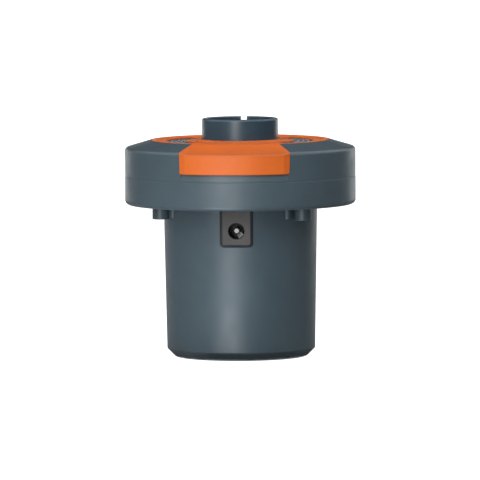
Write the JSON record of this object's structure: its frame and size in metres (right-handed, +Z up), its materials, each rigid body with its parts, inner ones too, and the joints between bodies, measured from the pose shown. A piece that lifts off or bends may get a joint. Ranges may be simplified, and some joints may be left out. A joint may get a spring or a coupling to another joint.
{
  "type": "electric air pump",
  "caption": "Small electric air pump: a motor tube under a wide round head with a central outlet nozzle, two intake grilles, a front tab, a low-voltage socket and a rear rocker switch.",
  "frame": {"origin": "centre of the foot pad's underside, on the pump's axis", "axes": "+Z up the axis, out of the outlet nozzle; -Y out of the power socket at the front; +X to the right seen from the front"},
  "size_m": [0.0926, 0.0937, 0.0964],
  "materials": {
    "slate_plastic": "matte, fine moulded texture",
    "orange_plastic": "satin",
    "dark_plastic": "matte",
    "socket_plastic": "matte",
    "black_plastic": "satin",
    "inner_plastic": "matte",
    "foot_rubber": "matte",
    "seal_rubber": "matte",
    "steel": "zinc plated",
    "core_steel": "laminated",
    "magnet": "sintered",
    "brass": "bright",
    "bronze": "sintered",
    "copper": "enamelled wire",
    "carbon": "pressed carbon",
    "wire_red": "satin",
    "wire_black": "satin",
    "ceramic": "dipped"
  },
  "bodies": {
    "casing": {"lower_shell": "slate_plastic", "upper_shell": "slate_plastic", "intake_grilles": "slate_plastic", "top_trim": "orange_plastic", "foot_pad": "foot_rubber", "casing_screws": "steel", "outlet_nozzle": "dark_plastic", "nozzle_seal": "seal_rubber", "guide_vanes": "inner_plastic", "volute_cup": "inner_plastic", "volute_screws": "steel", "motor_plate": "inner_plastic", "motor_can": "steel", "motor_end_cap": "black_plastic", "motor_magnets": "magnet", "brushes": "carbon", "brush_arms": "brass", "motor_terminals": "brass", "front_bearing": "bronze", "rear_bearing": "bronze", "motor_screws": "steel", "motor_damper": "seal_rubber", "jack_plate": "socket_plastic", "jack_body": "black_plastic", "jack_pin": "steel", "jack_leaf": "steel", "jack_terminals": "brass", "switch_frame": "black_plastic", "switch_terminals": "brass", "suppressor_capacitor": "ceramic", "return_wire": "wire_black", "feed_wire": "wire_red", "motor_wire": "wire_red"},
    "rotor": {"impeller": "inner_plastic", "impeller_bush": "brass", "motor_shaft": "steel", "armature_core": "core_steel", "armature_windings": "copper", "commutator": "copper"},
    "rocker": {"switch_rocker": "black_plastic"}
  },
  "joints": [
    {"name": "impeller_spin", "type": "hinge", "parent": "casing", "child": "rotor", "pos_m": [0, 0, 0.05], "axis": [0, 0, 1], "continuous": true},
    {"name": "switch_tilt", "type": "hinge", "parent": "casing", "child": "rocker", "pos_m": [0, 0.0278, 0.0435], "axis": [1, 0, 0], "range_deg": [0, 20]}
  ]
}
